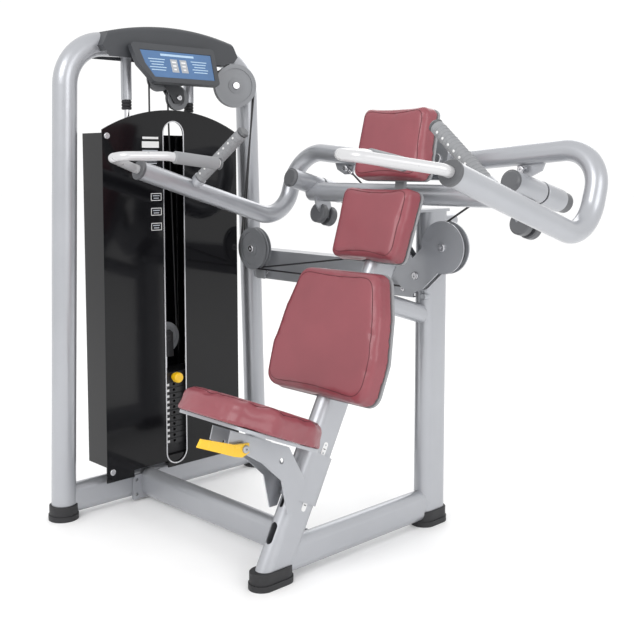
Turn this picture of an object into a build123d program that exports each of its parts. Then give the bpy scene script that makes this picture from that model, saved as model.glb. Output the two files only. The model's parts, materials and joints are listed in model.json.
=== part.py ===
"""Shoulder press machine with a pin-loaded weight stack, in millimetres, +Z up.

The user sits facing -Y, in the plane x = 0 of the working coordinates below, with the front foot
of the seat post at y = 0. The weight tower stands to the user's right, at -X. Pieces are written
about the centre of the footprint, which ORIGIN gives in the working coordinates.
"""
from build123d import *
import math
import os

# ---------------------------------------------------------------- driving dimensions
ORIGIN = Vector(-126.92, 245.0, 0.0)

TUBE_W, TUBE_H, WALL = 50.0, 92.0, 3.0          # flat-oval frame tube
POST_W, POST_H = 54.0, 104.0                    # seat post section
REAR_W, REAR_H = 60.0, 108.0                    # rear post section
FOOT_TOP = 10.0                                 # height at which tubes enter the rubber feet

TOWER_X, TOWER_Y = -800.0, 250.0
LEG_R = 37.0
LEG_FOOT_HALF, LEG_TOP_HALF = 390.0, 350.0
LEG_TOP_Z, LEG_BEND = 1452.0, 135.0
SHIELD_X = -750.0
SHIELD_BOTTOM, SHIELD_SIDE_TOP, SHIELD_CROWN = 92.0, 1195.0, 1262.0
SHIELD_HALF = 266.0
SLOT_W, SLOT_LOW, SLOT_HIGH = 78.0, 104.0, 1225.0

STACK_X = -806.0
PLATE_COUNT, PLATE_T, PLATE_GAP = 11, 18.0, 1.0
PLATE_X, PLATE_Y = 96.0, 290.0
STACK_BASE_Z = 166.0
ROD_HALF, ROD_R = 122.0, 9.0
ROD_X = STACK_X - 18.0
HEAD_T = 30.0

REAR_Y = 650.0
SEAT_TILT = 28.0                                # seat post lean from vertical, degrees
POST_FOOT_Y = -4.0
BEAM_Y, BEAM_Z, BEAM_R = 552.0, 1002.0, 30.0
BEAM_HALF = 412.0

PRESS_TILT = 14.0                               # pivot axes point back and down by this angle
HUB = Vector(74.0, 632.0, 1092.0)               # centre of the +X arm's hub
HUB_R, HUB_LEN, SHAFT_R, BUSH_R = 31.0, 78.0, 15.0, 19.0
ARM_R, ARM_WALL, ARM_BEND = 28.5, 3.0, 105.0
ARM_TOP = Vector(566.0, 640.0, 1136.0)
ARM_LOW = Vector(566.0, 566.0, 898.0)
ARM_END = Vector(576.0, 12.0, 1071.0)
HANDLE_R, GRIP_R = 13.0, 17.5

PULLEY_Y = 575.0
SIDE_PULLEY_R, SIDE_PULLEY_X = 64.0, 112.0
RIGHT_PULLEY_Z, LEFT_PULLEY_Z = 853.0, 877.0
CORNER = Vector(-703.0, 556.0, 800.0)
CORNER_R = 72.0
UPPER = Vector(-736.0, 500.0, 1352.0)
UPPER_R = 72.0
LOWER = Vector(14.0, 575.0, 765.0)
LOWER_R = 41.8
CABLE_R, CABLE_SEAT = 3.0, 3.9
GROOVE = 6.5

AXIS_BACK = Vector(0, math.cos(math.radians(PRESS_TILT)), -math.sin(math.radians(PRESS_TILT)))
POST_DIR = Vector(0, math.sin(math.radians(SEAT_TILT)), math.cos(math.radians(SEAT_TILT)))
X, Y, Z = Vector(1, 0, 0), Vector(0, 1, 0), Vector(0, 0, 1)

pieces = {}


# ---------------------------------------------------------------- shared shapes
def across(vector):
    """The same vector on the user's other side."""
    return Vector(-vector.X, vector.Y, vector.Z)


def flipped(part):
    return part.mirror(Plane.YZ)


def group(*solids):
    """Separate solids kept together in one node."""
    found = []
    for solid in solids:
        found.extend(solid.solids())
    return Compound(children=[Solid(one.wrapped) for one in found])


def rod(start, direction, length, radius, bore=0.0, edge=0.0):
    """Round bar or ring from start along direction."""
    with BuildPart() as bar:
        with BuildSketch(Plane(origin=start, z_dir=direction)):
            Circle(radius)
            if bore:
                Circle(bore, mode=Mode.SUBTRACT)
        extrude(amount=length)
        if edge:
            rims = bar.edges().filter_by(GeomType.CIRCLE).sort_by(SortBy.RADIUS)[-2:]
            chamfer(rims, edge)
    return bar.part


def block(low, high, edge=0.0):
    """Upright box between two corners, with its upright edges rounded by edge."""
    size = high - low
    with BuildPart() as box:
        with BuildSketch(Plane(origin=(low.X, low.Y, low.Z))):
            with Locations((size.X / 2, size.Y / 2)):
                Rectangle(size.X, size.Y)
        extrude(amount=size.Z)
        if edge:
            fillet(box.edges().filter_by(Axis.Z), edge)
    return box.part


def oval_bar(start, end, side, width, height, wall=0.0):
    """Flat-oval bar: width along side, height across it. Hollow where wall is given."""
    run = end - start
    with BuildPart() as bar:
        with BuildSketch(Plane(origin=start, x_dir=side.cross(run), z_dir=run)):
            SlotOverall(height, width)
            if wall:
                SlotOverall(height - 2 * wall, width - 2 * wall, mode=Mode.SUBTRACT)
        extrude(amount=run.length)
    return bar.part


def bent_tube(points, bends, radius, wall=0.0):
    """Round tube along straight runs joined by tangent bends."""
    with BuildPart() as tube:
        with BuildLine() as path:
            FilletPolyline(*points, radius=bends)
        with BuildSketch(Plane(origin=path.line @ 0, z_dir=path.line % 0)):
            Circle(radius)
            if wall:
                Circle(radius - wall, mode=Mode.SUBTRACT)
        sweep(path=path.line)
    return tube.part


def plate(plane, thickness, outline, holes=()):
    """Flat plate from an outline of points in plane, with round holes (x, y, radius)."""
    with BuildPart() as sheet:
        with BuildSketch(plane):
            with BuildLine():
                Polyline(*outline, close=True)
            make_face()
            for hole_x, hole_y, hole_r in holes:
                with Locations((hole_x, hole_y)):
                    Circle(hole_r, mode=Mode.SUBTRACT)
        extrude(amount=thickness)
    return sheet.part


def bolt(head_at, direction, radius, shank, head=None, head_t=None):
    """Button-head bolt whose head stands at head_at and whose shank runs along direction."""
    head_r = head or radius * 1.75
    thick = head_t or radius * 1.0
    with BuildPart() as screw:
        with BuildSketch(Plane(origin=head_at, z_dir=direction)):
            Circle(radius)
        extrude(amount=shank)
        with BuildSketch(Plane(origin=head_at, z_dir=-direction)):
            Circle(head_r)
        extrude(amount=thick)
        top = screw.edges().filter_by(GeomType.CIRCLE).sort_by(SortBy.RADIUS)[-2:]
        fillet(top.sort_by(lambda e: (e.center() - head_at).length)[-1], thick * 0.6)
        with BuildSketch(Plane(origin=head_at - direction * thick, z_dir=direction)):
            RegularPolygon(radius * 0.55, 6)
        extrude(amount=thick * 0.6, mode=Mode.SUBTRACT)
    return screw.part


def wheel(centre, axis, radius, width, bore, grooves=1):
    """Cable wheel with V grooves round its rim and a hub standing proud of both faces."""
    plane = Plane(origin=centre, z_dir=axis)
    pitch = width / grooves
    with BuildPart() as disc:
        with BuildSketch(plane):
            Circle(radius)
        extrude(amount=width / 2, both=True)
        for number in range(grooves):
            middle = (number + 0.5) * pitch - width / 2
            with BuildSketch(Plane(origin=centre + plane.z_dir * middle, x_dir=plane.x_dir,
                                   z_dir=plane.y_dir)):
                with BuildLine():
                    Polyline((radius - 7, -2.2), (radius + 1, -pitch * 0.40),
                             (radius + 1, pitch * 0.40), (radius - 7, 2.2), close=True)
                make_face()
            revolve(axis=Axis(centre, axis), mode=Mode.SUBTRACT)
        with BuildSketch(plane):
            Circle(bore * 2.4)
        extrude(amount=width / 2 + 1.5, both=True)
        with BuildSketch(plane):
            Circle(bore)
        extrude(amount=width, both=True, mode=Mode.SUBTRACT)
        for face_side in (-1, 1):
            with BuildSketch(plane.offset(face_side * width / 2)):
                Circle(radius - 14)
                Circle(bore * 2.4 + 5, mode=Mode.SUBTRACT)
            extrude(amount=-face_side * 3, mode=Mode.SUBTRACT)
    return disc.part


def dome_cap(at, direction, radius):
    """Pressed-in tube cap with a low domed face pointing along direction."""
    with BuildPart() as cap:
        with BuildSketch(Plane(origin=at, z_dir=direction)):
            Circle(radius)
        extrude(amount=4)
        with BuildSketch(Plane(origin=at + direction * 4, z_dir=direction)):
            Circle(radius - 2)
        extrude(amount=5, taper=42)
    return cap.part


def foot(centre, length, width, turned, height=46.0, spread=6.0):
    """Rubber foot: an oval cup that the end of a tube stands in."""
    turn = 90 if turned else 0
    with BuildPart() as cup:
        with BuildSketch(Plane.XY):
            with Locations(Location((centre.X, centre.Y), turn)):
                SlotOverall(length + 2 * spread + 6, width + 2 * spread + 6)
        extrude(amount=height * 0.35)
        with BuildSketch(Plane.XY.offset(height * 0.35)):
            with Locations(Location((centre.X, centre.Y), turn)):
                SlotOverall(length + 2 * spread, width + 2 * spread)
        extrude(amount=height * 0.65)
        chamfer(cup.edges().group_by(Axis.Z)[-1], 2)
    return cup.part


# ---------------------------------------------------------------- frame
post_foot = Vector(0, POST_FOOT_Y, 0) + POST_DIR * 8
post_top = Vector(0, POST_FOOT_Y, 0) + POST_DIR * 1095
rear_foot = Vector(0, REAR_Y, FOOT_TOP)
rear_top = Vector(0, REAR_Y, BEAM_Z - 52)
base_z = 58.0
leg_feet = [Vector(TOWER_X, TOWER_Y + side * LEG_FOOT_HALF, FOOT_TOP) for side in (-1, 1)]


def leg(side, solid=False):
    """One tower leg: leans in a little, then bends over the top of the tower."""
    foot_at = Vector(TOWER_X, TOWER_Y + side * LEG_FOOT_HALF, FOOT_TOP)
    corner = Vector(TOWER_X, TOWER_Y + side * LEG_TOP_HALF, LEG_TOP_Z)
    over = Vector(TOWER_X, TOWER_Y + side * 3, LEG_TOP_Z + 14)
    return bent_tube([foot_at, corner, over], LEG_BEND, LEG_R, 0 if solid else WALL)


leg_solids = [leg(-1, True), leg(1, True)]
tower_y = [leg_feet[0].Y, leg_feet[1].Y]
tower_base_solid = oval_bar(Vector(TOWER_X, tower_y[0], base_z), Vector(TOWER_X, tower_y[1], base_z),
                            X, TUBE_W, TUBE_H)
tower_base = oval_bar(Vector(TOWER_X, tower_y[0], base_z), Vector(TOWER_X, tower_y[1], base_z),
                      X, TUBE_W, TUBE_H, WALL)
pieces["tower_near_leg"] = leg(-1)
pieces["tower_far_leg"] = leg(1)
pieces["tower_base_beam"] = tower_base - leg_solids[0] - leg_solids[1]

flange_x = TOWER_X + TUBE_W / 2
BASE_X_Y = 150.0
pieces["base_flange"] = plate(
    Plane(origin=(flange_x + 0.02, BASE_X_Y, base_z), x_dir=(0, 1, 0), z_dir=(1, 0, 0)), 8,
    [(-58, -50), (58, -50), (58, 20), (48, 30), (-48, 30), (-58, 20)],
    [(y, z, 5.5) for y in (-44, 44) for z in (-34, 14)])

below_foot_top = block(Vector(-200, -200, -60), Vector(200, 200, FOOT_TOP))
seat_post_solid = oval_bar(post_foot, post_top, X, POST_W, POST_H) - below_foot_top
seat_post = oval_bar(post_foot, post_top, X, POST_W, POST_H, WALL) - below_foot_top
rear_post_solid = oval_bar(rear_foot, rear_top, X, REAR_W, REAR_H)
rear_post = oval_bar(rear_foot, rear_top, X, REAR_W, REAR_H, WALL)
beam_solid = rod(Vector(-BEAM_HALF, BEAM_Y, BEAM_Z), X, 2 * BEAM_HALF, BEAM_R)
beam_tube = rod(Vector(-BEAM_HALF, BEAM_Y, BEAM_Z), X, 2 * BEAM_HALF, BEAM_R, BEAM_R - WALL)

base_x_args = (Vector(flange_x + 8.04, BASE_X_Y, base_z), Vector(-24, BASE_X_Y, base_z), Y)
base_x_solid = oval_bar(*base_x_args, TUBE_W, TUBE_H)
base_y_args = (Vector(0, 16, base_z + 4), Vector(0, REAR_Y, base_z + 4), X)
base_y_solid = oval_bar(*base_y_args, TUBE_W, TUBE_H)
pieces["base_y_tube"] = (oval_bar(*base_y_args, TUBE_W, TUBE_H, WALL)
                         - seat_post_solid - rear_post_solid)
pieces["base_x_tube"] = oval_bar(*base_x_args, TUBE_W, TUBE_H, WALL) - base_y_solid

brace_args = (Vector(0, 380, 716), Vector(0, REAR_Y, 632), X)
pieces["brace_tube"] = oval_bar(*brace_args, 46, 56, WALL) - seat_post_solid - rear_post_solid

# openings in the lower front of the seat post: adjustment slots and the locking window
post_front = Plane(origin=Vector(0, POST_FOOT_Y, 0), x_dir=X, z_dir=X.cross(POST_DIR))
with BuildPart() as post_cuts:
    with BuildSketch(post_front):
        for low, high, wide in ((98, 156, 22), (196, 236, 12), (300, 336, 12)):
            with Locations((0, (low + high) / 2)):
                SlotOverall(high - low, wide, rotation=90)
    extrude(amount=POST_H)
pieces["seat_post"] = seat_post - post_cuts.part - beam_solid
saddle_top = block(Vector(-REAR_W / 2, BEAM_Y - 4, BEAM_Z - 52),
                   Vector(REAR_W / 2, REAR_Y + REAR_H / 2, BEAM_Z - 44), 8)
pieces["rear_post"] = rear_post - beam_solid
pieces["rear_post_cap"] = saddle_top - beam_solid
pieces["rear_cross_stub"] = (rod(Vector(0, REAR_Y + REAR_H / 2 - 10, 920), Y, 58, 19)
                             - rear_post_solid)

# end tubes of the upper beam, which carry the arm rests
end_start = Vector(BEAM_HALF, 462, 1047)
end_solid = rod(end_start, AXIS_BACK, 126, BEAM_R)
end_front = rod(end_start, AXIS_BACK, 126, BEAM_R, BEAM_R - WALL)
end_rear_at = end_start + AXIS_BACK * 132
end_rear = rod(end_rear_at, AXIS_BACK, 92, BEAM_R + 1.5, BEAM_R - 2, 1.0)
sleeve_solid = rod(end_rear_at, AXIS_BACK, 92, BEAM_R + 1.5)
pieces["upper_beam"] = (beam_tube - end_solid - flipped(end_solid) - rear_post_solid
                        - sleeve_solid - flipped(sleeve_solid))
pieces["beam_end_tubes"] = group(end_front, flipped(end_front))
end_ring = rod(end_start + AXIS_BACK * 126.02, AXIS_BACK, 5.96, BEAM_R - 4, BEAM_R - 12)
pieces["beam_end_sleeves"] = group(end_rear, flipped(end_rear))
pieces["beam_end_spacers"] = group(end_ring, flipped(end_ring))
plug = rod(end_rear_at + AXIS_BACK * 60, AXIS_BACK, 66, BEAM_R - 2.02, 0, 3)
pieces["beam_end_plugs"] = group(plug, flipped(plug))
cap = dome_cap(end_start - AXIS_BACK * 0.02, -AXIS_BACK, BEAM_R)
pieces["beam_end_caps"] = group(cap, flipped(cap))

# ---------------------------------------------------------------- arm pivots
carrier_front = HUB - AXIS_BACK * (HUB_LEN / 2 + 12)
carrier_plane = Plane(origin=(0, carrier_front.Y, carrier_front.Z), x_dir=(1, 0, 0),
                      z_dir=AXIS_BACK)
carrier_back = carrier_plane.offset(HUB_LEN + 16)
carrier_outline = [(-110, 14), (-84, 40), (84, 40), (110, 14), (110, -18), (52, -92), (-52, -92),
                   (-110, -18)]
shaft_holes = [(HUB.X, 0, SHAFT_R), (-HUB.X, 0, SHAFT_R)]
front_plate = plate(carrier_plane, 8, carrier_outline, shaft_holes) - beam_solid
back_plate = plate(carrier_back, 8, carrier_outline, shaft_holes) - beam_solid
with BuildPart() as carrier_web:
    with BuildSketch(carrier_plane.offset(8.01)):
        with Locations((0, -48)):
            Rectangle(58, 88)
    extrude(amount=HUB_LEN + 7.98)
pieces["pivot_carrier_plates"] = group(front_plate, back_plate)
pieces["pivot_carrier_block"] = (carrier_web.part - beam_solid - rear_post_solid
                                 - saddle_top - seat_post_solid)
shaft_start = HUB - AXIS_BACK * (HUB_LEN / 2 + 18)
shaft = rod(shaft_start, AXIS_BACK, HUB_LEN + 38, SHAFT_R - 0.02, 0, 1.5)
pieces["arm_pivot_shafts"] = group(shaft, flipped(shaft))


def arm_pieces(mirror):
    """Every piece of one press arm, for +X, or mirrored for -X."""
    hub_start = HUB - AXIS_BACK * (HUB_LEN / 2)
    hub_solid = rod(hub_start, AXIS_BACK, HUB_LEN, HUB_R)
    hub_ring = rod(hub_start, AXIS_BACK, HUB_LEN, HUB_R, BUSH_R + 0.02, 1.5)
    bushes = [rod(hub_start + AXIS_BACK * step, AXIS_BACK, 22, BUSH_R, SHAFT_R + 0.05)
              for step in (1, HUB_LEN - 23)]
    arm_start = HUB + Vector(18, 1, 3)
    tube = bent_tube([arm_start, ARM_TOP, ARM_LOW, ARM_END], ARM_BEND, ARM_R, ARM_WALL) - hub_solid
    tube_solid = bent_tube([arm_start, ARM_TOP, ARM_LOW, ARM_END], ARM_BEND, ARM_R)
    forward = (ARM_END - ARM_LOW).normalized()

    ring = rod(ARM_END + forward * 0.02, forward, 11, ARM_R + 1.5, HANDLE_R + 0.02, 2)
    reach = ARM_END + forward * 30
    turn_out, turn_in = Vector(464, -156, 1107), Vector(404, -158, 1112)
    grip_bend = Vector(372, -40, 1112)
    grip_end = Vector(345, 120, 1091)
    handle = bent_tube([ARM_END + forward * 0.5, reach, turn_out, turn_in, grip_bend, grip_end],
                       [30, 29, 29, 40], HANDLE_R, 2.0)
    along = (grip_end - grip_bend).normalized()
    grip = rod(grip_end - along * 142, along, 138, GRIP_R, HANDLE_R + 0.02, 3)
    grip_cap = rod(grip_end + along * 0.02, along, 7, GRIP_R, 0, 3)

    root_at = Vector(566, 190, 1020)
    tip_at = Vector(362, 222, 1180)
    lean = (tip_at - root_at).normalized()
    core = rod(root_at, lean, (tip_at - root_at).length - 4, 14) - tube_solid
    cone = rod(root_at + lean * 30, lean, 16, 20, 14.02) - tube_solid
    with BuildPart() as sleeve:
        with BuildSketch(Plane(origin=root_at + lean * 48, z_dir=lean)):
            Circle(GRIP_R)
            Circle(14.02, mode=Mode.SUBTRACT)
        extrude(amount=(tip_at - root_at).length - 50)
    end_ball = rod(tip_at - lean * 1.98, lean, 12, GRIP_R + 1, 0, 5)

    lug_plane = Plane(origin=(0, 646, 0), x_dir=(1, 0, 0), z_dir=(0, -1, 0))
    lug = plate(lug_plane, 8, [(300, 1105), (402, 1112), (384, 1072), (350, 1056), (318, 1058)],
                [(331, 1076, 5)]) - tube_solid
    lug_bolt = bolt(Vector(331, 622, 1076), Y, 4.98, 36, 10, 6)
    names = {"arm_tube": tube, "arm_hub": hub_ring, "arm_bushes": group(*bushes),
             "arm_end_ring": ring, "handle_tube": handle, "handle_grip": grip,
             "handle_end_cap": grip_cap, "neutral_grip_core": group(core, cone),
             "neutral_grip": sleeve.part, "neutral_grip_end": end_ball,
             "cable_lug": lug, "cable_lug_bolt": lug_bolt}
    side = "left" if mirror else "right"
    return {f"{side}_{name}": (flipped(part) if mirror else part) for name, part in names.items()}


for is_left in (False, True):
    pieces.update(arm_pieces(is_left))

# ---------------------------------------------------------------- side pulleys behind the pads
PLATE_MARGIN = 12.0
side_centres = [Vector(SIDE_PULLEY_X, PULLEY_Y, RIGHT_PULLEY_Z),
                Vector(-SIDE_PULLEY_X, PULLEY_Y, LEFT_PULLEY_Z)]
side_roots = [LOWER, across(LOWER)]


def keyhole_plate(face_y):
    """One plate behind the pads: a round end over each pulley, joined on the rear post."""
    with BuildPart() as sheet:
        with BuildSketch(Plane(origin=(0, face_y, 0), x_dir=(1, 0, 0), z_dir=(0, -1, 0))):
            for centre, root in zip(side_centres, side_roots):
                run = centre - root
                turn = math.degrees(math.atan2(run.Z, run.X))
                with Locations((centre.X, centre.Z)):
                    Circle(SIDE_PULLEY_R + PLATE_MARGIN)
                with Locations(Location(((centre.X + root.X) / 2, (centre.Z + root.Z) / 2), turn)):
                    Rectangle(run.length, 92)
                with Locations((root.X, root.Z)):
                    Circle(46)
            for hole in side_centres + [LOWER]:
                with Locations((hole.X, hole.Z)):
                    Circle(8.02, mode=Mode.SUBTRACT)
        extrude(amount=-4)
    return sheet.part


front_face_y, rear_face_y = PULLEY_Y - 14.5, PULLEY_Y + 10.5
pieces["side_pulley_front_plate"] = keyhole_plate(front_face_y)
pieces["right_side_pulley"] = wheel(side_centres[0], Y, SIDE_PULLEY_R, 16, 8.06)
pieces["left_side_pulley"] = wheel(side_centres[1], Y, SIDE_PULLEY_R, 16, 8.06)
pieces["lower_side_pulley"] = wheel(LOWER, Y, LOWER_R, 16, 8.06)
side_bolts = [bolt(Vector(at.X, front_face_y - 0.04, at.Z), Y, 8, 32, 12, 6)
              for at in side_centres + [LOWER]]
pieces["side_pulley_bolts"] = group(*side_bolts)
standoffs = [rod(Vector(x, rear_face_y + 4.02, z), Y, 24, 9) - rear_post_solid
             for x, z in ((-18, 716), (-18, 800), (20, 700), (20, 830))]
pieces["side_pulley_standoffs"] = group(*standoffs)

# ---------------------------------------------------------------- link beam to the tower
link_z, link_h = 742.0, 100.0
link_start, link_end = TOWER_X + LEG_R + 6, -REAR_W / 2 - 0.02
with BuildPart() as link:
    with BuildSketch(Plane(origin=(link_start, 0, 0), x_dir=(0, 1, 0), z_dir=(1, 0, 0))):
        with BuildLine():
            Polyline((REAR_Y - 46, link_z - 50), (REAR_Y + 20, link_z - 50),
                     (REAR_Y + 20, link_z - 46), (REAR_Y - 42, link_z - 46),
                     (REAR_Y - 42, link_z + 46), (REAR_Y + 20, link_z + 46),
                     (REAR_Y + 20, link_z + 50), (REAR_Y - 46, link_z + 50), close=True)
        make_face()
    extrude(amount=link_end - link_start)
far_leg_solid = leg_solids[1]
link_screws = [bolt(Vector(x, REAR_Y - 46.04, z), Y, 5, 4, 9, 4)
               for x in (link_start + 60, link_end - 40) for z in (link_z - 26, link_z + 26)]
link_body = link.part - rear_post_solid - far_leg_solid
for screw in link_screws:
    link_body -= screw
pieces["link_beam"] = link_body
pieces["link_beam_screws"] = group(*[screw.solid() for screw in link_screws])

# corner pulley beside the far tower leg
corner_plane = Plane(origin=(0, CORNER.Y + 20, 0), x_dir=(1, 0, 0), z_dir=(0, -1, 0))
corner_plate = plate(corner_plane, 5,
                     [(CORNER.X - 20, CORNER.Z - 22), (CORNER.X + 20, CORNER.Z - 22),
                      (CORNER.X + 34, CORNER.Z - 64), (CORNER.X + 34, CORNER.Z - 104),
                      (CORNER.X - 4, CORNER.Z - 104), (CORNER.X - 30, CORNER.Z - 30)],
                     [(CORNER.X, CORNER.Z, 8.02)])
pieces["corner_pulley_bracket"] = corner_plate - far_leg_solid - link.part
pieces["corner_pulley"] = wheel(CORNER, Y, CORNER_R, 26, 8.06, 2)
pieces["corner_pulley_bolt"] = bolt(CORNER - Y * 15, Y, 8, 40, 13, 6)

# ---------------------------------------------------------------- top of the tower
TOP_Z = LEG_TOP_Z + 14
cover_plane = Plane(origin=(TOWER_X - 46, TOWER_Y, 0), x_dir=(0, 1, 0), z_dir=(1, 0, 0))
with BuildPart() as cover:
    with BuildSketch(cover_plane):
        with BuildLine():
            crown = ThreePointArc((-238, TOP_Z + 26), (0, TOP_Z + 56), (238, TOP_Z + 26))
            Polyline(crown @ 1, (262, TOP_Z - 18), (236, TOP_Z - 50), (-236, TOP_Z - 50),
                     (-262, TOP_Z - 18), crown @ 0)
        make_face()
    extrude(amount=112)
    fillet(cover.edges().filter_by(GeomType.CIRCLE), 14)
    with BuildSketch(cover_plane.offset(4)):
        with BuildLine():
            inner = ThreePointArc((-234, TOP_Z + 21), (0, TOP_Z + 50), (234, TOP_Z + 21))
            Polyline(inner @ 1, (256, TOP_Z - 16), (238, TOP_Z - 60), (-238, TOP_Z - 60),
                     (-256, TOP_Z - 16), inner @ 0)
        make_face()
    extrude(amount=104, mode=Mode.SUBTRACT)
pieces["top_cover"] = cover.part - leg_solids[0] - leg_solids[1]
top_beam = leg_solids[0] + leg_solids[1]

placard_tilt = 20.0
placard_at = Vector(TOWER_X + 112, TOWER_Y - 18, 1404)
face_dir = Vector(math.cos(math.radians(placard_tilt)), 0, math.sin(math.radians(placard_tilt)))
placard_plane = Plane(origin=placard_at, x_dir=(0, 1, 0), z_dir=face_dir)
with BuildPart() as bezel:
    with BuildSketch(placard_plane):
        with BuildLine():
            Polyline((-164, 62), (158, 62), (150, -66), (-104, -66), (-150, -6), close=True)
        make_face()
        fillet(vertices(), 12)
    extrude(amount=-18)
    with BuildSketch(placard_plane):
        with BuildLine():
            Polyline((-134, 40), (140, 40), (134, -50), (-98, -50), (-124, -6), close=True)
        make_face()
    extrude(amount=-3, mode=Mode.SUBTRACT)
pieces["placard_housing"] = bezel.part
with BuildPart() as placard:
    with BuildSketch(placard_plane.offset(-2.98)):
        with BuildLine():
            Polyline((-133, 39), (139, 39), (133, -49), (-97.5, -49), (-123, -6), close=True)
        make_face()
    extrude(amount=1.5)
pieces["placard_face"] = placard.part
placard_arm = [oval_bar(Vector(TOWER_X + 66.1, TOWER_Y + y, 1446),
                        placard_at + Vector(0, y + 18, 22) - face_dir * 17, Y, 20, 34)
               for y in (-70, 70)]
with BuildPart() as face_room:
    with BuildSketch(placard_plane.offset(-18)):
        Rectangle(420, 220)
    extrude(amount=80)
cover_room = block(Vector(TOWER_X - 60, TOWER_Y - 300, 1300),
                   Vector(TOWER_X + 66.2, TOWER_Y + 300, TOP_Z + 80))
pieces["placard_brackets"] = group(*[arm - face_room.part - cover_room for arm in placard_arm])

# guide rods, sleeves and rubber rings
rod_low, rod_high = base_z + TUBE_H / 2, TOP_Z - 33
rods = []
sleeves = []
bumpers = []
for side in (-1, 1):
    rod_y = TOWER_Y + side * ROD_HALF
    rods.append(rod(Vector(ROD_X, rod_y, rod_low), Z, rod_high - rod_low, ROD_R))
    sleeves.append(rod(Vector(ROD_X, rod_y, 1292), Z, rod_high - 1296, 17, ROD_R + 0.02, 2))
    for number in range(3):
        bumpers.append(rod(Vector(ROD_X, rod_y, 1262 + number * 10), Z, 9.96, 16, ROD_R + 0.02, 2))
pieces["guide_rods"] = group(*[one - top_beam for one in rods])
pieces["guide_rod_sleeves"] = group(*[one - top_beam for one in sleeves])
pieces["guide_rod_bumpers"] = group(*bumpers)
pieces["guide_rod_base"] = block(Vector(STACK_X - 38, TOWER_Y - 158, rod_low + 0.02),
                                 Vector(STACK_X + 28, TOWER_Y + 158, rod_low + 28), 6) \
    - rods[0] - rods[1]

# top pulleys that send the cable down to the stack, in one open housing
TOP_R = 40.0
top_pulley_x = STACK_X
top_centres = [Vector(top_pulley_x, TOWER_Y - 12, 1364), Vector(top_pulley_x, TOWER_Y + 60, 1306)]
pieces["near_top_pulley"] = wheel(top_centres[0], X, TOP_R, 16, 6.06)
pieces["far_top_pulley"] = wheel(top_centres[1], X, TOP_R, 16, 6.06)
side_walls = []
for x in (top_pulley_x - 14, top_pulley_x + 10):
    side_walls.append(plate(
        Plane(origin=(x, TOWER_Y, 0), x_dir=(0, 1, 0), z_dir=(1, 0, 0)), 4,
        [(-34, 1344), (4, 1344), (42, 1288), (78, 1288), (80, 1330), (66, 1346), (44, 1354),
         (36, TOP_Z - 30), (-34, TOP_Z - 30)],
        [(at.Y - TOWER_Y, at.Z, 6.02) for at in top_centres]))
pieces["top_pulley_bolts"] = group(*[bolt(at + X * 14.04, -X, 6, 34, 10, 5) for at in top_centres])

# swivelling pulley outside the far corner of the tower
swing = Vector(math.cos(math.radians(22)), -math.sin(math.radians(22)), 0)
pieces["upper_pulley"] = wheel(UPPER, swing, UPPER_R, 26, 8.06, 2)
pieces["upper_pulley_bolt"] = bolt(UPPER + swing * 15, -swing, 8, 48, 13, 6)
pieces["top_cover"] -= rod(UPPER - swing * 22, swing, 44, UPPER_R + 4)
upper_arm = oval_bar(UPPER - swing * 26, UPPER - swing * 26 + Vector(-22, 10, 92), X, 18, 40)
wheel_room = rod(UPPER - swing * 14.6, swing, 30, UPPER_R + 2)
upper_hub = rod(UPPER - swing * 15, -swing, 30, 20, 8.02)
pieces["upper_pulley_bracket"] = (upper_arm + upper_hub - leg_solids[1]
                                  - rod(UPPER, -swing, 60, 8.02) - cover.part - wheel_room)

# ---------------------------------------------------------------- weight stack
plate_step = PLATE_T + PLATE_GAP
stack_rubber = block(Vector(STACK_X - 40, TOWER_Y - 150, rod_low + 28.02),
                     Vector(STACK_X + 40, TOWER_Y + 150, STACK_BASE_Z - 0.02), 10)
pieces["stack_rubber"] = stack_rubber - rod(Vector(STACK_X, TOWER_Y, 140), Z, 40, 14) \
    - rods[0] - rods[1]


def weight_plate(low, thick, moving):
    """A stack plate: rod holes, the selector's bore and the pin hole across it."""
    with BuildPart() as slab:
        with BuildSketch(Plane.XY.offset(low)):
            with Locations((STACK_X, TOWER_Y)):
                RectangleRounded(PLATE_X, PLATE_Y, 8)
        extrude(amount=thick)
        chamfer(slab.edges().group_by(Axis.Z)[-1], 1.5)
        with BuildSketch(Plane.XY.offset(low)):
            with Locations((ROD_X, TOWER_Y - ROD_HALF), (ROD_X, TOWER_Y + ROD_HALF)):
                Circle(ROD_R + (0.08 if moving else 1.5))
            with Locations((STACK_X, TOWER_Y)):
                Circle(11.0 if moving else 12.5)
        extrude(amount=thick, mode=Mode.SUBTRACT)
        with BuildSketch(Plane(origin=(STACK_X + PLATE_X / 2, TOWER_Y, low + thick / 2),
                               z_dir=(-1, 0, 0))):
            Circle(5.06)
        extrude(amount=PLATE_X / 2 + 18, mode=Mode.SUBTRACT)
    return slab.part


plates = [weight_plate(STACK_BASE_Z + number * plate_step, PLATE_T, False)
          for number in range(PLATE_COUNT)]
pieces["weight_plates"] = group(*plates)
head_z = STACK_BASE_Z + PLATE_COUNT * plate_step + 0.5
pieces["head_plate"] = weight_plate(head_z, HEAD_T, True)
stem_low = STACK_BASE_Z + 8
with BuildPart() as stem:
    with BuildSketch(Plane.XY.offset(stem_low)):
        with Locations((STACK_X, TOWER_Y)):
            Circle(10.98)
    extrude(amount=head_z + HEAD_T + 46 - stem_low)
    for number in range(PLATE_COUNT):
        with BuildSketch(Plane(origin=(STACK_X + 20, TOWER_Y,
                                       STACK_BASE_Z + number * plate_step + PLATE_T / 2),
                               z_dir=(-1, 0, 0))):
            Circle(5.0)
        extrude(amount=40, mode=Mode.SUBTRACT)
    with BuildSketch(Plane(origin=(STACK_X + 20, TOWER_Y, head_z + HEAD_T / 2), z_dir=(-1, 0, 0))):
        Circle(5.06)
    extrude(amount=40, mode=Mode.SUBTRACT)
pieces["selector_stem"] = stem.part

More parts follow.
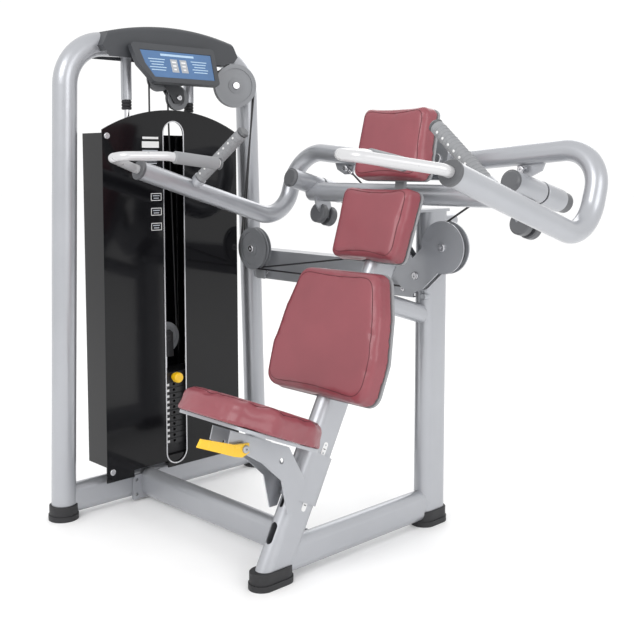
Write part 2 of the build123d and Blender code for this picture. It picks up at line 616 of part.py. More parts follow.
FLOAT_R = 52.0
float_z = head_z + HEAD_T + 46 + 64
float_centre = Vector(STACK_X, TOWER_Y, float_z)
yoke_cheeks = []
for x in (STACK_X - 16, STACK_X + 11):
    yoke_cheeks.append(plate(
        Plane(origin=(x, TOWER_Y, 0), x_dir=(0, 1, 0), z_dir=(1, 0, 0)), 5,
        [(-24, float_z - 64), (24, float_z - 64), (22, float_z + 16), (10, float_z + 26),
         (-10, float_z + 26), (-22, float_z + 16)], [(0, float_z, 8.02)]))
yoke_foot = block(Vector(STACK_X - 16, TOWER_Y - 24, float_z - 63.98),
                  Vector(STACK_X + 16, TOWER_Y + 24, float_z - 56))
pieces["pulley_yoke"] = group(yoke_cheeks[0] + yoke_cheeks[1] + yoke_foot)
pieces["floating_pulley"] = wheel(float_centre, X, FLOAT_R, 16, 8.06)
pieces["floating_pulley_bolt"] = bolt(float_centre + X * 16.04, -X, 8, 40, 14, 5)

pin_z = head_z + HEAD_T / 2
pin_start = Vector(STACK_X + PLATE_X / 2, TOWER_Y, pin_z)
pin = rod(pin_start + X * 14, -X, 14 + PLATE_X / 2 + 16, 5.0)
with BuildPart() as knob:
    with BuildSketch(Plane(origin=pin_start + X * 2, z_dir=(1, 0, 0))):
        Circle(12)
        Circle(5.02, mode=Mode.SUBTRACT)
    extrude(amount=12)
    with BuildSketch(Plane(origin=pin_start + X * 14.0, z_dir=(1, 0, 0))):
        Circle(17)
    extrude(amount=20)
    fillet(knob.edges().filter_by(GeomType.CIRCLE).sort_by(Axis.X)[-1], 7)
pieces["selector_pin"] = pin
pieces["selector_pin_knob"] = knob.part

# ---------------------------------------------------------------- tower shields
with BuildPart() as shield:
    with BuildSketch(Plane(origin=(SHIELD_X, TOWER_Y, 0), x_dir=(0, 1, 0), z_dir=(1, 0, 0))):
        with BuildLine():
            arc = ThreePointArc((-SHIELD_HALF + 4, SHIELD_SIDE_TOP), (0, SHIELD_CROWN),
                                (SHIELD_HALF - 4, SHIELD_SIDE_TOP))
            Polyline(arc @ 1, (SHIELD_HALF, SHIELD_BOTTOM), (-SHIELD_HALF, SHIELD_BOTTOM), arc @ 0)
        make_face()
        with Locations((0, (SLOT_LOW + SLOT_HIGH) / 2)):
            SlotOverall(SLOT_HIGH - SLOT_LOW, SLOT_W, rotation=90, mode=Mode.SUBTRACT)
    extrude(amount=4)
pieces["front_shield"] = shield.part
with BuildPart() as trim:
    with BuildSketch(Plane(origin=(SHIELD_X + 4.02, TOWER_Y, 0), x_dir=(0, 1, 0),
                           z_dir=(1, 0, 0))):
        with Locations((0, (SLOT_LOW + SLOT_HIGH) / 2)):
            SlotOverall(SLOT_HIGH - SLOT_LOW + 6, SLOT_W + 6, rotation=90)
            SlotOverall(SLOT_HIGH - SLOT_LOW - 2, SLOT_W - 2, rotation=90, mode=Mode.SUBTRACT)
    extrude(amount=2)
pieces["slot_trim"] = trim.part
with BuildPart() as shroud:
    with BuildSketch(Plane.XY.offset(140)):
        with BuildLine():
            Polyline((SHIELD_X - 0.02, TOWER_Y - 262), (SHIELD_X - 0.02, TOWER_Y - 256),
                     (SHIELD_X - 106, TOWER_Y - 256), (SHIELD_X - 106, TOWER_Y + 256),
                     (SHIELD_X - 0.02, TOWER_Y + 256), (SHIELD_X - 0.02, TOWER_Y + 262),
                     (SHIELD_X - 110, TOWER_Y + 262), (SHIELD_X - 110, TOWER_Y - 262), close=True)
        make_face()
    extrude(amount=SHIELD_SIDE_TOP - 150)
pieces["rear_shroud"] = shroud.part
tube_notch = block(Vector(flange_x - 4, BASE_X_Y - 66, 0), Vector(-60, BASE_X_Y + 66, base_z + 56))
sill = block(Vector(SHIELD_X - 22, TOWER_Y - 250, 105), Vector(SHIELD_X - 0.02, TOWER_Y + 250, 131))
pieces["shield_sill"] = sill - tower_base_solid - tube_notch
caps = [bolt(Vector(SHIELD_X + 4.02, TOWER_Y + y, z), -X, 4, 10, 10, 4)
        for y, z in ((-246, 1176), (246, 1176), (-246, 124), (246, 124))]
shield_holes = [rod(Vector(SHIELD_X - 8, TOWER_Y + y, z), X, 20, 4.06)
                for y, z in ((-246, 1176), (246, 1176), (-246, 124), (246, 124))]
for hole in [tube_notch, *shield_holes]:
    pieces["front_shield"] -= hole
for hole in shield_holes[2:]:
    pieces["shield_sill"] -= hole
pieces["shield_screws"] = group(*caps)

# ---------------------------------------------------------------- back pads
PAD_T, BOARD_T = 46.0, 8.0


def pad_outline(half_low, half_wide, half_top, height, corner, widest=0.62):
    """Face of a pad, from its low edge at 0 to height, widest at that share of the height."""
    waist = (1 + widest) / 2
    half_waist = half_top + (half_wide - half_top) * 0.66
    with BuildSketch(Plane.XY) as face:
        with BuildLine():
            Polyline((-half_low, 0), (half_low, 0), (half_wide, height * widest),
                     (half_waist, height * waist), (half_top, height), (-half_top, height),
                     (-half_waist, height * waist), (-half_wide, height * widest), close=True)
        make_face()
        fillet(face.vertices(), corner)
    return face.sketch


def pad_set(low, high, outline):
    """A cushion and the board behind it, from the front face's low and high middle points."""
    up = (high - low).normalized()
    plane = Plane(origin=low, x_dir=(1, 0, 0), z_dir=X.cross(up))
    outline_at = plane.location * outline
    cushion = extrude(outline_at, amount=-PAD_T)
    cushion = fillet(cushion.edges().group_by(Axis(low, plane.z_dir))[-1], 14)
    board = extrude(plane.offset(-PAD_T - 0.5).location * offset(outline, -4), amount=-BOARD_T)
    return cushion, board


MAIN_LOW, MAIN_HIGH = Vector(0, 150, 474), Vector(0, 262, 816)
UPPER_LOW, UPPER_HIGH = Vector(0, 338, 828), Vector(0, 410, 1032)
HEAD_LOW, HEAD_HIGH = Vector(0, 436, 1048), Vector(0, 482, 1256)
pad_shapes = {
    "main_back_pad": (MAIN_LOW, MAIN_HIGH,
                      pad_outline(200, 210, 152, (MAIN_HIGH - MAIN_LOW).length, 44, 0.34)),
    "upper_back_pad": (UPPER_LOW, UPPER_HIGH,
                       pad_outline(130, 134, 138, (UPPER_HIGH - UPPER_LOW).length, 26)),
    "head_pad": (HEAD_LOW, HEAD_HIGH,
                 pad_outline(135, 132, 127, (HEAD_HIGH - HEAD_LOW).length, 26)),
}
boards = []
post_room = oval_bar(post_foot, post_top + POST_DIR * 4, X, POST_W + 1, POST_H + 1)
for name, (low, high, outline) in pad_shapes.items():
    cushion, board = pad_set(low, high, outline)
    pieces[name] = cushion - post_room
    boards.append(board - post_room)
straps = []
for low, high, reach, along in ((MAIN_LOW, MAIN_HIGH, 46, 0.80), (UPPER_LOW, UPPER_HIGH, 60, 0.35),
                                (UPPER_LOW, UPPER_HIGH, 52, 0.85)):
    up = (high - low).normalized()
    back = up.cross(X)
    at = low + (high - low) * along + back * (PAD_T + BOARD_T + 0.52)
    strap = oval_bar(at, at + back * reach, X, 40, 60)
    straps.append(strap - post_room)
head_up = (HEAD_HIGH - HEAD_LOW).normalized()
head_back = head_up.cross(X)
head_at = HEAD_LOW + head_up * 110 + head_back * (PAD_T + BOARD_T + 8)
mast = oval_bar(Vector(0, post_top.Y, post_top.Z) + POST_DIR * 0.02 - Y * 6, head_at, head_back, 12, 40)
pieces["pad_boards"] = group(*boards, *[one for one in straps if one.volume > 10],
                             mast - beam_solid - boards[2])

# ---------------------------------------------------------------- seat
SEAT_ANGLE = 23.0
SEAT_LENGTH, SEAT_WIDTH, SEAT_T = 350.0, 334.0, 58.0
seat_back_dir = Vector(0, math.cos(math.radians(SEAT_ANGLE)), -math.sin(math.radians(SEAT_ANGLE)))
seat_up = Vector(0, math.sin(math.radians(SEAT_ANGLE)), math.cos(math.radians(SEAT_ANGLE)))
SEAT_FRONT = Vector(0, -230, 496)
seat_plane = Plane(origin=SEAT_FRONT, x_dir=(1, 0, 0), z_dir=seat_up)
with BuildPart() as seat:
    with BuildSketch(seat_plane):
        with BuildLine():
            front = ThreePointArc((-118, 24), (0, 0), (118, 24))
            Polyline(front @ 1, (SEAT_WIDTH / 2, 112), (SEAT_WIDTH / 2 - 20, 282),
                     (108, SEAT_LENGTH), (-108, SEAT_LENGTH), (-SEAT_WIDTH / 2 + 20, 282),
                     (-SEAT_WIDTH / 2, 112), front @ 0)
        make_face()
        fillet(vertices(), 44)
    extrude(amount=SEAT_T)
    fillet(seat.faces().sort_by(Axis(SEAT_FRONT, seat_up))[-1].edges(), 18)
pieces["seat_pad"] = seat.part

side_plane = Plane(origin=(0, 0, 0), x_dir=(0, 1, 0), z_dir=(1, 0, 0))
seat_board = block(Vector(-138, 0, 0), Vector(138, 284, 8), 40)
seat_board = seat_board.moved(seat_plane.offset(-8.5).location * Location((0, 40, 0)))
bracket_outline = [(-150, 446), (40, 366), (98, 262), (60, 190), (34, 190), (14, 282), (-50, 342),
                   (-160, 412)]
cheeks = [plate(side_plane.offset(x), 4, bracket_outline, [(14, 335, 8), (-118, 397, 5.02)])
          for x in (-37, 33)]
slider_low = Vector(0, POST_FOOT_Y, 0) + POST_DIR * 228
slider = oval_bar(slider_low, slider_low + POST_DIR * 132, X, POST_W + 12, POST_H + 12)
slider_bore = oval_bar(slider_low - POST_DIR, slider_low + POST_DIR * 134, X,
                       POST_W + 0.8, POST_H + 0.8)
slider_sleeve = slider - slider_bore
cheek_sheets = [cheek - slider - seat_board for cheek in cheeks]
pieces["seat_carriage"] = slider_sleeve - seat_board
pieces["seat_bracket"] = group(seat_board, *cheek_sheets)
lever = plate(side_plane.offset(44), 8,
              [(-106, 386), (-106, 410), (-150, 414), (-196, 430), (-250, 448), (-262, 430),
               (-208, 408), (-156, 386), (-128, 378)], [(-118, 397, 5.06)])
pieces["seat_lever"] = lever
pieces["seat_lever_bolt"] = bolt(Vector(52.1, -118, 397), -X, 5, 19, 10, 5)

# ---------------------------------------------------------------- rubber feet
feet = [foot(Vector(TOWER_X, at.Y, 0), 2 * LEG_R, 2 * LEG_R - 0.5, False) for at in leg_feet]
feet.append(foot(Vector(0, POST_FOOT_Y + 12, 0), POST_H + 12, POST_W, True))
feet.append(foot(Vector(0, REAR_Y, 0), REAR_H, REAR_W, True))
foot_cuts = [leg_solids[0], leg_solids[1],
             seat_post_solid, rear_post_solid]
trimmed_feet = []
for one, cut in zip(feet, foot_cuts):
    kept = one - cut - base_x_solid - base_y_solid - tower_base_solid
    trimmed_feet.append(kept.solids().sort_by(SortBy.VOLUME)[-1])
pieces["rubber_feet"] = group(*trimmed_feet)

# ---------------------------------------------------------------- bumpers under the upper beam
bumper_plates = []
bumpers_found = []
for sign in (-1, 1):
    hang = plate(Plane(origin=(sign * 372, 0, 0), x_dir=(0, 1, 0), z_dir=(1, 0, 0)), 6,
                 [(520, 992), (584, 992), (598, 930), (584, 916), (556, 920), (528, 960)])
    bumper_plates.append(hang - beam_solid - end_solid - flipped(end_solid))
    for step, out in ((0, 0), (40, 0)):
        spot = Vector(sign * (372 + (10 if sign > 0 else -10) * sign), 556 + step, 934 - step * 0.3)
        bumpers_found.append(rod(spot - AXIS_BACK * 14, AXIS_BACK, 26, 32, 0, 4)
                             - bumper_plates[-1])
pieces["beam_bumper_plates"] = group(*bumper_plates)
pieces["beam_bumpers"] = group(*bumpers_found)

# ---------------------------------------------------------------- cables
def wrap(centre, axis, start, angle):
    """A stretch of cable round a wheel, from start, turning about axis by angle."""
    tangent = axis.cross(start - centre).normalized()
    with BuildPart() as turn:
        with BuildSketch(Plane(origin=start, z_dir=tangent)):
            Circle(CABLE_R)
        revolve(axis=Axis(centre, axis), revolution_arc=angle)
    return turn.part


def straight(start, end):
    return rod(start, end - start, (end - start).length, CABLE_R)


def tangent_from(centre, radius, point, side):
    """Where a line from point touches a circle about centre, seen along Y."""
    gap = math.hypot(point.X - centre.X, point.Z - centre.Z)
    heading = math.atan2(point.Z - centre.Z, point.X - centre.X)
    angle = heading + side * math.acos(radius / gap)
    return Vector(centre.X + radius * math.cos(angle), centre.Y, centre.Z + radius * math.sin(angle))


side_r, lower_r = SIDE_PULLEY_R - CABLE_SEAT, LOWER_R - CABLE_SEAT
corner_r, upper_r = CORNER_R - CABLE_SEAT, UPPER_R - CABLE_SEAT
top_r, float_r = TOP_R - CABLE_SEAT, FLOAT_R - CABLE_SEAT
lug_end = Vector(331, 631, 1076)
right_touch = tangent_from(side_centres[0], side_r, lug_end, 1)
left_touch = tangent_from(side_centres[1], side_r, across(lug_end), -1)


def arm_cable(touch, lug):
    """The run from a side pulley up to the arm's lug, with its swaged end on the lug bolt."""
    run = (touch - lug).normalized()
    eye = rod(lug + run * 8, run, 28, 5.4, 0, 1)
    return group(eye, straight(lug + run * 36.02, touch + run * -1.5))


cable_slots = [rod(end, start - end, (start - end).length, 6)
               for start, end in ((lug_end, right_touch), (across(lug_end), left_touch))]
pieces["side_pulley_rear_plate"] = keyhole_plate(rear_face_y) - cable_slots[0] - cable_slots[1]
pieces["right_arm_cable"] = arm_cable(right_touch, lug_end)
pieces["left_arm_cable"] = arm_cable(left_touch, across(lug_end))


def turned(point, centre):
    return math.degrees(math.atan2(point.Z - centre.Z, point.X - centre.X))


near_groove, far_groove = CORNER - Y * GROOVE, CORNER + Y * GROOVE
frame_runs = [
    wrap(side_centres[0], -Y, right_touch, 180 - turned(right_touch, side_centres[0])),
    straight(side_centres[0] - X * side_r, LOWER + X * lower_r),
    wrap(LOWER, Y, LOWER + X * lower_r, 90),
    straight(LOWER - Z * lower_r, near_groove - Z * corner_r),
    wrap(side_centres[1], Y, left_touch, 90 + turned(left_touch, side_centres[1])),
    straight(side_centres[1] - Z * side_r, far_groove - Z * corner_r),
]
rim_dir = Vector(math.sin(math.radians(22)), math.cos(math.radians(22)), 0)
for corner_groove, offset_by, top_at in ((near_groove, GROOVE, top_centres[0]),
                                         (far_groove, -GROOVE, top_centres[1])):
    upper_at = UPPER + swing * offset_by
    over = upper_at + Z * upper_r
    frame_runs.append(wrap(corner_groove, Y, corner_groove - Z * corner_r, 90))
    frame_runs.append(straight(corner_groove - X * corner_r, upper_at + rim_dir * upper_r))
    frame_runs.append(wrap(upper_at, -swing, upper_at + rim_dir * upper_r, 90))
    frame_runs.append(straight(over, top_at + Z * top_r))
    frame_runs.append(wrap(top_at, X, top_at + Z * top_r, 90))
over_room = [rod(at + Z * top_r, UPPER + Z * (upper_r - top_r) - at, 90, 12) for at in top_centres]
pieces["top_pulley_housing"] = group(*[wall - top_beam - over_room[0] - over_room[1]
                                       for wall in side_walls])
near_drop, far_drop = (at - Y * top_r for at in top_centres)
frame_runs.append(straight(near_drop, Vector(near_drop.X, near_drop.Y, far_drop.Z)))
wheels = [pieces[name] for name in ("right_side_pulley", "left_side_pulley", "lower_side_pulley",
                                    "corner_pulley", "upper_pulley", "near_top_pulley",
                                    "far_top_pulley")]


def off_wheels(run):
    """A run of cable without the slivers that its flat rims would press into the grooves."""
    for one in wheels:
        if run.bounding_box().overlaps(one.bounding_box()):
            run = run - one
    return [solid for solid in run.solids() if solid.volume > 30]


pieces["frame_cables"] = group(*[solid for run in frame_runs for solid in off_wheels(run)])
for side in ("right", "left"):
    pieces[f"{side}_arm_cable"] = group(*off_wheels(pieces[f"{side}_arm_cable"]))
far_low = Vector(far_drop.X, float_centre.Y + float_r, float_centre.Z)
near_low = Vector(far_drop.X, float_centre.Y - float_r, float_centre.Z)
drops = [straight(Vector(at.X, start.Y, far_drop.Z - 0.02), at)
         for at, start in ((near_low, near_drop), (far_low, far_drop))]
loop = wrap(float_centre, -X, near_low - Z * 0.02, 180)
pieces["stack_cables"] = group(*drops, loop)

# ---------------------------------------------------------------- nodes
# Welded pieces and pieces of one kind share a node, as separate solids.
nodes = {
    "tower_base_beam": ["tower_base_beam", "guide_rod_base"],
    "base_x_tube": ["base_flange", "base_x_tube"],
    "rear_post": ["rear_post", "rear_post_cap", "rear_cross_stub", "brace_tube"],
    "upper_beam": ["upper_beam", "beam_end_tubes", "beam_bumper_plates", "beam_end_sleeves",
                   "beam_end_spacers"],
    "beam_end_rubbers": ["beam_end_caps", "beam_end_plugs", "beam_bumpers"],
    "pivot_carrier": ["pivot_carrier_plates", "pivot_carrier_block"],
    "side_pulley_plates": ["side_pulley_front_plate", "side_pulley_rear_plate",
                           "side_pulley_standoffs"],
    "pulley_bolts": ["side_pulley_bolts", "corner_pulley_bolt", "upper_pulley_bolt",
                     "top_pulley_bolts", "link_beam_screws"],
    "tower_pulley_brackets": ["corner_pulley_bracket", "upper_pulley_bracket"],
    "placard_housing": ["placard_housing", "placard_brackets"],
    "guide_rods": ["guide_rods", "guide_rod_sleeves"],
    "stack_bumpers": ["guide_rod_bumpers", "stack_rubber"],
    "pulley_yoke": ["pulley_yoke", "floating_pulley_bolt"],
    "selector_pin": ["selector_pin", "selector_pin_knob"],
    "rear_shroud": ["rear_shroud", "shield_sill"],
    "shield_trim": ["slot_trim", "shield_screws"],
    "seat_carriage": ["seat_carriage", "seat_bracket", "seat_lever_bolt"],
}
for side in ("right", "left"):
    nodes[f"{side}_arm_frame"] = [f"{side}_arm_tube", f"{side}_arm_hub", f"{side}_cable_lug",
                                  f"{side}_neutral_grip_core"]
    nodes[f"{side}_arm_bushes"] = [f"{side}_arm_bushes", f"{side}_cable_lug_bolt"]
    nodes[f"{side}_arm_grips"] = [f"{side}_handle_grip", f"{side}_neutral_grip"]
    nodes[f"{side}_arm_caps"] = [f"{side}_arm_end_ring", f"{side}_handle_end_cap",
                                 f"{side}_neutral_grip_end"]

finished = {}
grouped = {source for sources in nodes.values() for source in sources}
for name, sources in nodes.items():
    finished[name] = group(*[pieces[source] for source in sources])
for name, piece in pieces.items():
    if name not in grouped:
        finished[name] = piece

os.makedirs("parts", exist_ok=True)
for name, piece in finished.items():
    placed = piece.moved(Location((-ORIGIN.X, -ORIGIN.Y, 0)))
    placed.label = name
    export_step(placed, f"parts/{name}.step")
print(len(finished), "nodes")
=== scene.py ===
"""Shoulder press machine: materials, cushions, flexible cables, small details, light and camera.

Layout coordinates are in millimetres: x is 0 in the user's middle plane, y grows backwards from the
front foot and z grows up from the floor. at() turns them into the frame's metres. Named lengths are in
metres unless their comment says millimetres.
"""
import json
import math

import bpy
import bmesh
from mathutils import Matrix, Vector


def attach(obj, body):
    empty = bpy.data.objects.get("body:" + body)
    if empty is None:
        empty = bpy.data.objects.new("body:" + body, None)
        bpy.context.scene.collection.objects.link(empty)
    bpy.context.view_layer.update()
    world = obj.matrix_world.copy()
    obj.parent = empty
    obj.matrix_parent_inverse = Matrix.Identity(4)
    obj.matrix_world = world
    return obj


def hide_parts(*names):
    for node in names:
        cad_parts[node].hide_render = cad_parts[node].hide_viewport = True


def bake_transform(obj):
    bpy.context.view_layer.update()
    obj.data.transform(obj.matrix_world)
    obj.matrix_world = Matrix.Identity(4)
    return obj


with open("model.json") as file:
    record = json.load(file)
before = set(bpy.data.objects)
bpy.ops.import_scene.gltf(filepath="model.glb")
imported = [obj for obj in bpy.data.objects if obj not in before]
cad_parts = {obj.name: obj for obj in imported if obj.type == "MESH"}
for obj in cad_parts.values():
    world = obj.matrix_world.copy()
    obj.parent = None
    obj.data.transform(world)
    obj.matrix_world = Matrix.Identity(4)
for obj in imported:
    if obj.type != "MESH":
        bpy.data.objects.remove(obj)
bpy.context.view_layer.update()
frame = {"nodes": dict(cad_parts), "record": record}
nodes = frame["nodes"]

ORIGIN = Vector((-126.92, 245.0, 0.0))   # centre of the footprint in the layout coordinates, mm


def at(x, y, z):
    """A layout point in millimetres as a row-frame point in metres."""
    return (Vector((x, y, z)) - ORIGIN) / 1000


# ------------------------------------------------------------------ materials
COAT_ROUGHNESS = 0.12
GRAIN_DEPTH = 0.0004
RAMP_FROM, RAMP_TO = 0.3, 0.7     # stretch of the broad noise over which the colour changes
SMOOTHEST = 0.02                  # roughness never goes below this


def material(name, colour, rough, metal=0.0, grain=0.0, scale=400.0, coat=0.0, vary=0.04,
             rough_vary=0.08, cells=False, large=6.0, specular=0.5):
    """Principled material with colour and roughness variation and a fine surface grain."""
    mat = bpy.data.materials.new(name)
    mat.use_nodes = True
    tree = mat.node_tree
    shader = tree.nodes["Principled BSDF"]
    shader.inputs["Metallic"].default_value = metal
    shader.inputs["Coat Weight"].default_value = coat
    shader.inputs["Specular IOR Level"].default_value = specular
    shader.inputs["Coat Roughness"].default_value = COAT_ROUGHNESS
    where = tree.nodes.new("ShaderNodeTexCoord")
    broad = tree.nodes.new("ShaderNodeTexNoise")
    broad.inputs["Scale"].default_value = large
    broad.inputs["Detail"].default_value = 5.0
    tree.links.new(where.outputs["Object"], broad.inputs["Vector"])
    ramp = tree.nodes.new("ShaderNodeValToRGB")
    for element, place, gain in zip(ramp.color_ramp.elements, (RAMP_FROM, RAMP_TO), (1 - vary, 1 + vary)):
        element.position = place
        element.color = (*(min(1.0, c * gain) for c in colour), 1)
    tree.links.new(broad.outputs["Fac"], ramp.inputs["Fac"])
    tree.links.new(ramp.outputs["Color"], shader.inputs["Base Color"])
    spread = tree.nodes.new("ShaderNodeMapRange")
    spread.inputs["To Min"].default_value = max(SMOOTHEST, rough - rough_vary)
    spread.inputs["To Max"].default_value = rough + rough_vary
    smudge = tree.nodes.new("ShaderNodeTexNoise")
    smudge.inputs["Scale"].default_value = large * 3
    smudge.inputs["Detail"].default_value = 6.0
    tree.links.new(where.outputs["Object"], smudge.inputs["Vector"])
    tree.links.new(smudge.outputs["Fac"], spread.inputs["Value"])
    tree.links.new(spread.outputs["Result"], shader.inputs["Roughness"])
    if grain:
        fine = tree.nodes.new("ShaderNodeTexVoronoi" if cells else "ShaderNodeTexNoise")
        fine.inputs["Scale"].default_value = scale
        tree.links.new(where.outputs["Object"], fine.inputs["Vector"])
        bump = tree.nodes.new("ShaderNodeBump")
        bump.inputs["Strength"].default_value = grain
        bump.inputs["Distance"].default_value = GRAIN_DEPTH
        tree.links.new(fine.outputs["Distance" if cells else "Fac"], bump.inputs["Height"])
        tree.links.new(bump.outputs["Normal"], shader.inputs["Normal"])
    return mat


MATS = {
    "paint": material("silver_paint", (0.40, 0.41, 0.435), rough=0.33, metal=0.55, grain=0.10,
                      scale=900, coat=0.3, vary=0.03),
    "light_paint": material("pale_paint", (0.56, 0.56, 0.57), rough=0.30, metal=0.3, grain=0.06,
                            scale=900, coat=0.3, vary=0.03),
    "pulley_plastic": material("pulley_nylon", (0.20, 0.207, 0.22), rough=0.42, metal=0.1, grain=0.15,
                               scale=500, coat=0.1, vary=0.08),
    "black_shield": material("smoked_shield", (0.004, 0.004, 0.005), rough=0.08, metal=0, grain=0,
                             scale=1, coat=0.1, vary=0.1, rough_vary=0.03, specular=0.28),
    "dark_cover": material("dark_moulding", (0.045, 0.048, 0.054), rough=0.48, metal=0, grain=0.35,
                           scale=1100, coat=0.05, vary=0.08),
    "placard_blue": material("placard_print", (0.055, 0.14, 0.30), rough=0.22, metal=0, grain=0.03,
                             scale=700, coat=0.5, vary=0.12),
    "upholstery": material("burgundy_vinyl", (0.235, 0.052, 0.066), rough=0.40, metal=0, grain=0.26,
                           scale=620, coat=0.18, vary=0.07, rough_vary=0.06, cells=True, large=9.0),
    "back_board": material("grey_board", (0.26, 0.265, 0.275), rough=0.5, metal=0, grain=0.25,
                           scale=900, coat=0.0, vary=0.05),
    "rubber_black": material("black_rubber", (0.018, 0.018, 0.02), rough=0.62, metal=0, grain=0.3,
                             scale=700, coat=0, vary=0.15),
    "grip_rubber": material("grip_rubber", (0.24, 0.245, 0.255), rough=0.6, metal=0, grain=0.4,
                            scale=650, coat=0, vary=0.1),
    "steel": material("zinc_steel", (0.62, 0.62, 0.64), rough=0.26, metal=1.0, grain=0.12, scale=1200,
                      coat=0, vary=0.05),
    "chrome_rod": material("polished_rod", (0.70, 0.70, 0.72), rough=0.10, metal=1.0, grain=0.02,
                           scale=1500, coat=0, vary=0.03, rough_vary=0.04),
    "plate_black": material("coated_plate", (0.022, 0.022, 0.024), rough=0.45, metal=0.3, grain=0.35,
                            scale=500, coat=0.1, vary=0.15),
    "yellow_plastic": material("yellow_plastic", (0.84, 0.50, 0.01), rough=0.28, metal=0, grain=0.08,
                               scale=600, coat=0.3, vary=0.05),
    "cable_black": material("cable_coat", (0.014, 0.014, 0.016), rough=0.4, metal=0, grain=0.1,
                            scale=900, coat=0.1, vary=0.1),
}
SEAM = material("seam_thread", (0.11, 0.018, 0.026), rough=0.6, metal=0, grain=0.4, scale=900, coat=0,
                vary=0.1)
WHITE = material("label_print", (0.72, 0.72, 0.72), rough=0.4, metal=0, grain=0.05, scale=500, coat=0.2,
                 vary=0.06)
GREY = material("label_grey", (0.36, 0.38, 0.41), rough=0.4, metal=0, grain=0.05, scale=500, coat=0.2,
                vary=0.06)
PALE_BLUE = material("placard_pale", (0.40, 0.55, 0.70), rough=0.35, metal=0, grain=0.05, scale=500,
                     coat=0.2, vary=0.06)
# painted shade: a near-black colour standing in for the shade inside the scale's recessed marks
RECESS_SHADE = material("painted_recess_shade", (0.012, 0.012, 0.014), rough=0.5, metal=0, grain=0.2, scale=500, coat=0,
                vary=0.1)

slots = {entry["node"]: entry["material_slot"] for entry in frame["record"]["subparts"]}
for name, node in nodes.items():
    node.data.materials.clear()
    node.data.materials.append(MATS[slots[name]])
    for polygon in node.data.polygons:
        polygon.material_index = 0

# the guide rods' upper ends are painted sleeves
SLEEVES_FROM_Z = 1.29
sleeves = nodes["guide_rods"]
sleeves.data.materials.append(MATS["paint"])
for polygon in sleeves.data.polygons:
    if (sleeves.matrix_world @ polygon.center).z > SLEEVES_FROM_Z:
        polygon.material_index = 1
CAP_GREY = material("cap_grey", (0.10, 0.103, 0.11), rough=0.4, metal=0.2, grain=0.2, scale=700, coat=0.1,
                    vary=0.1)
for name in ("right_arm_caps", "left_arm_caps", "beam_end_rubbers"):
    nodes[name].data.materials[0] = CAP_GREY


# ------------------------------------------------------------------ builders
def new_mesh(name, verts, faces, mat, body):
    """Smooth-shaded mesh object in one material, riding on body if one is given."""
    data = bpy.data.meshes.new(name)
    data.from_pydata([tuple(v) for v in verts], [], faces)
    data.update()
    piece = bpy.data.objects.new(name, data)
    bpy.context.scene.collection.objects.link(piece)
    data.materials.append(mat)
    for polygon in data.polygons:
        polygon.use_smooth = True
    if body:
        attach(piece, body)
    return piece


def tube(name, points, radius, mat, body, sides=12, closed=False):
    """Round tube along points, with one ring for each."""
    verts, faces = [], []
    count = len(points)
    normal = None
    for i, point in enumerate(points):
        ahead = points[(i + 1) % count] if closed or i < count - 1 else point
        behind = points[i - 1] if closed or i else point
        run = (ahead - behind).normalized()
        if normal is None:
            normal = run.orthogonal().normalized()
        normal = (normal - run * normal.dot(run)).normalized()
        side = run.cross(normal)
        for k in range(sides):
            turn = 2 * math.pi * k / sides
            verts.append(point + (normal * math.cos(turn) + side * math.sin(turn)) * radius)
    for i in range(count if closed else count - 1):
        j = (i + 1) % count
        for k in range(sides):
            m = (k + 1) % sides
            faces.append((i * sides + k, i * sides + m, j * sides + m, j * sides + k))
    if not closed:
        faces.append(tuple(reversed(range(sides))))
        faces.append(tuple((count - 1) * sides + k for k in range(sides)))
    return new_mesh(name, verts, faces, mat, body)


def slab(name, centre, across, up, width, height, thick, mat, body, round_by=0.0):
    """Thin plate lying on a face: across and up are its edges, thick stands along their normal."""
    across, up = across.normalized(), up.normalized()
    out = across.cross(up)
    bm = bmesh.new()
    bmesh.ops.create_cube(bm, size=1.0)
    bmesh.ops.scale(bm, vec=(width, height, thick), verts=bm.verts)
    if round_by:
        edges = [e for e in bm.edges if abs((e.verts[0].co - e.verts[1].co).z) > thick * 0.5]
        bmesh.ops.bevel(bm, geom=edges, offset=round_by, segments=5, affect="EDGES", profile=0.5)
    turn = Matrix((across, up, out)).transposed().to_4x4()
    turn.translation = centre + out * thick / 2
    bmesh.ops.transform(bm, matrix=turn, verts=bm.verts)
    data = bpy.data.meshes.new(name)
    bm.to_mesh(data)
    bm.free()
    piece = bpy.data.objects.new(name, data)
    bpy.context.scene.collection.objects.link(piece)
    data.materials.append(mat)
    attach(piece, body)
    return piece


def line(a, b, count):
    """Evenly spaced points from a to b."""
    return [a.lerp(b, i / (count - 1)) for i in range(count)]


# ------------------------------------------------------------------ cushions
PAD_SHRINK = 0.985        # room for the cushion to swell within the CAD pad's outline
VOXEL = 0.006
PRESSURE = 4.0
CLOTH_STEPS = 20
SWELL_DEPTH = 0.022       # the swelling grows from nothing at the board to full at this depth
SEAM_R = 0.0011
SEAM_POINTS = 180


def apply(modifier):
    bpy.ops.object.modifier_apply(modifier=modifier.name)


def swell(piece):
    """Let the cushion inflate as cloth under a light pressure."""
    cloth = piece.modifiers.new("cloth", "CLOTH")
    cloth.settings.use_pressure = True
    cloth.settings.uniform_pressure_force = PRESSURE
    cloth.settings.effector_weights.gravity = 0.0
    cloth.settings.quality = 4
    cloth.point_cache.frame_end = CLOTH_STEPS
    for step in range(1, CLOTH_STEPS + 1):
        bpy.context.scene.frame_set(step)
    apply(cloth)
    bpy.context.scene.frame_set(1)


def middle_of(data):
    return sum((v.co for v in data.vertices), Vector()) / len(data.vertices)


